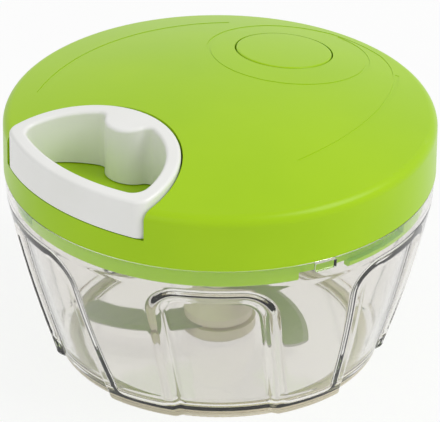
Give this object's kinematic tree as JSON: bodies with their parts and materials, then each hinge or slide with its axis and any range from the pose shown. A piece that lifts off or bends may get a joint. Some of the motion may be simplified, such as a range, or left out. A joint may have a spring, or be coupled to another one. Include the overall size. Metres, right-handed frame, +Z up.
{
  "type": "pull-cord food chopper",
  "caption": "Round food chopper with a clear fluted bowl, domed twist-on lid, pull handle on a cord, sprung reel and stacked sickle blades.",
  "frame": {"origin": "centre of the foot ring's underside, on the table", "axes": "+Z up along the axis of bowl, blades and lid; the handle pulls towards -Y and 6 degrees up; +X to the right when facing the handle from the front"},
  "size_m": [0.125, 0.125, 0.0839],
  "materials": {
    "lid_green": "satin moulded ABS",
    "handle_white": "satin moulded ABS",
    "clear_bowl": "clear moulded SAN",
    "foot_beige": "soft anti-slip rubber",
    "blade_steel": "brushed stainless steel",
    "hub_cream": "moulded plastic",
    "steel": "bright steel",
    "reel_white": "moulded acetal",
    "clutch_grey": "moulded nylon",
    "spring_steel": "blued spring steel",
    "cord_white": "braided polyester cord",
    "bush_white": "acetal"
  },
  "bodies": {
    "bowl": {"bowl": "clear_bowl", "foot_ring": "foot_beige", "bowl_pin": "steel"},
    "blades": {"blade_spindle": "hub_cream", "lower_blade": "blade_steel", "middle_blade": "blade_steel", "upper_blade": "blade_steel", "lower_spacer": "hub_cream", "upper_spacer": "hub_cream", "spindle_head": "hub_cream", "spindle_screw": "steel"},
    "axle": {"drive_axle": "steel", "axle_clip": "steel"},
    "lid": {"lid_cover": "lid_green", "lid_base": "lid_green", "round_cap": "lid_green", "lid_screws": "steel", "cord_eyelet": "steel", "spring_cup": "reel_white", "spring_cover": "steel", "mainspring": "spring_steel", "hub_bush": "bush_white"},
    "reel": {"cord_reel": "reel_white", "wound_cord": "cord_white", "ratchet_ring": "clutch_grey"},
    "hub": {"drive_hub": "hub_cream"},
    "handle": {"pull_handle": "handle_white", "cord_knot": "cord_white", "knot_plug": "handle_white", "pull_cord": "cord_white"}
  },
  "joints": [
    {"name": "lid_lift", "type": "slide", "parent": "bowl", "child": "axle", "axis": [0, 0, 1], "range_m": [0, 0.07]},
    {"name": "lid_twist", "type": "hinge", "parent": "axle", "child": "lid", "pos_m": [0, 0, 0.059], "axis": [0, 0, -1], "range_deg": [0, 22]},
    {"name": "handle_pull", "type": "slide", "parent": "lid", "child": "handle", "axis": [0, -0.9945, 0.1045], "range_m": [0, 0.235], "stiffness_N_per_m": 25, "springref_m": -0.15, "deforming": ["pull_cord"]},
    {"name": "reel_spin", "type": "hinge", "parent": "axle", "child": "reel", "pos_m": [0, 0, 0.074], "axis": [0, 0, 1], "range_deg": [0, 1590]},
    {"name": "hub_spin", "type": "hinge", "parent": "axle", "child": "hub", "pos_m": [0, 0, 0.053], "axis": [0, 0, 1], "range_deg": [0, 1590]},
    {"name": "blade_spin", "type": "hinge", "parent": "bowl", "child": "blades", "pos_m": [0, 0, 0.015], "axis": [0, 0, 1], "range_deg": [0, 1590]}
  ],
  "couplings": [
    {"joint": "reel_spin", "follows": "handle_pull", "rad_per_m": 117.65},
    {"joint": "hub_spin", "follows": "handle_pull", "rad_per_m": 117.65},
    {"joint": "blade_spin", "follows": "handle_pull", "rad_per_m": 117.65}
  ]
}
